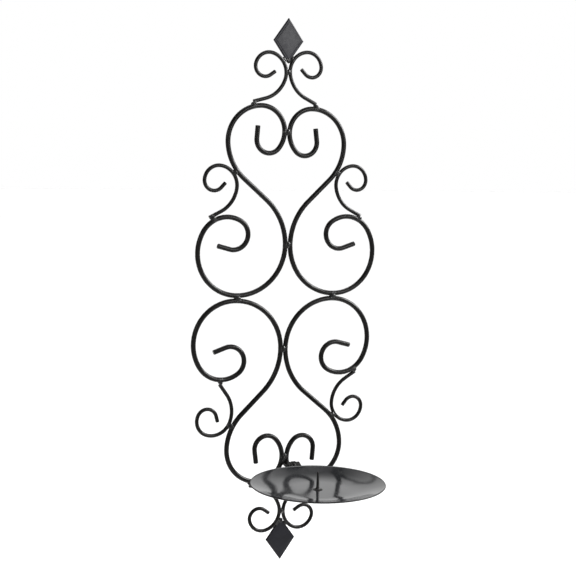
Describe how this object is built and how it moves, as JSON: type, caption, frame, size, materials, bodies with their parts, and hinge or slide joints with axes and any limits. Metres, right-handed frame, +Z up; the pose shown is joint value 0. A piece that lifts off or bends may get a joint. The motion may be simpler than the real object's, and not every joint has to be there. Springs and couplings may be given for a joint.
{
  "type": "wall sconce candle holder",
  "caption": "Scrollwork wall frame of bent black wire with diamond finials and a shallow round spiked candle tray on a folding arm.",
  "frame": {"origin": "the nail that the frame hangs on: in the wall plane, under the crotch of the two top finial scrolls", "axes": "+Z up, +Y into the wall, +X to the right of someone facing the wall; the tray stands out along -Y"},
  "size_m": [0.158, 0.1208, 0.4347],
  "materials": {
    "black_coat": "satin black powder coat on bent wire and welds",
    "plate_coat": "satin charcoal powder coat on flat sheet",
    "tray_enamel": "glossy black stoved enamel",
    "black_steel": "blackened steel fasteners and spike"
  },
  "bodies": {
    "frame": {"upper_right_scroll": "black_coat", "upper_left_scroll": "black_coat", "lower_right_scroll": "black_coat", "lower_left_scroll": "black_coat", "upper_right_side_curl": "black_coat", "upper_left_side_curl": "black_coat", "lower_right_side_curl": "black_coat", "lower_left_side_curl": "black_coat", "top_right_finial_scroll": "black_coat", "top_left_finial_scroll": "black_coat", "foot_right_finial_scroll": "black_coat", "foot_left_finial_scroll": "black_coat", "top_diamond": "plate_coat", "foot_diamond": "plate_coat", "foot_diamond_weld": "black_coat", "foot_finial_weld": "black_coat", "left_middle_weld": "black_coat", "lower_hook_weld": "black_coat", "lower_left_curl_tail_weld": "black_coat", "lower_left_curl_weld": "black_coat", "lower_left_finial_tail_weld": "black_coat", "lower_right_curl_tail_weld": "black_coat", "lower_right_curl_weld": "black_coat", "lower_right_finial_tail_weld": "black_coat", "lower_waist_weld": "black_coat", "pivot_tab_weld": "black_coat", "right_middle_weld": "black_coat", "top_diamond_weld": "black_coat", "top_finial_weld": "black_coat", "upper_hook_weld": "black_coat", "upper_left_curl_tail_weld": "black_coat", "upper_left_curl_weld": "black_coat", "upper_left_finial_tail_weld": "black_coat", "upper_right_curl_tail_weld": "black_coat", "upper_right_curl_weld": "black_coat", "upper_right_finial_tail_weld": "black_coat", "upper_waist_weld": "black_coat", "pivot_tab": "black_coat", "pivot_bolt": "black_steel"},
    "tray": {"tray_arm": "black_coat", "candle_tray": "tray_enamel", "spike_collar": "black_steel", "candle_spike": "black_steel"},
    "washer": {"pivot_washer": "black_steel"},
    "nut": {"pivot_nut": "black_steel"}
  },
  "joints": [
    {"name": "tray_fold", "type": "hinge", "parent": "frame", "child": "tray", "pos_m": [0.0049, -0.0118, -0.3056], "axis": [1, 0, 0], "range_deg": [-90, 90]},
    {"name": "nut_travel", "type": "slide", "parent": "frame", "child": "washer", "axis": [1, 0, 0], "range_m": [0, 0.0014]},
    {"name": "nut_turn", "type": "hinge", "parent": "washer", "child": "nut", "pos_m": [0.0089, -0.0118, -0.3056], "axis": [1, 0, 0], "range_deg": [0, 720]}
  ],
  "couplings": [
    {"joint": "nut_turn", "follows": "nut_travel", "rad_per_m": 8976}
  ]
}
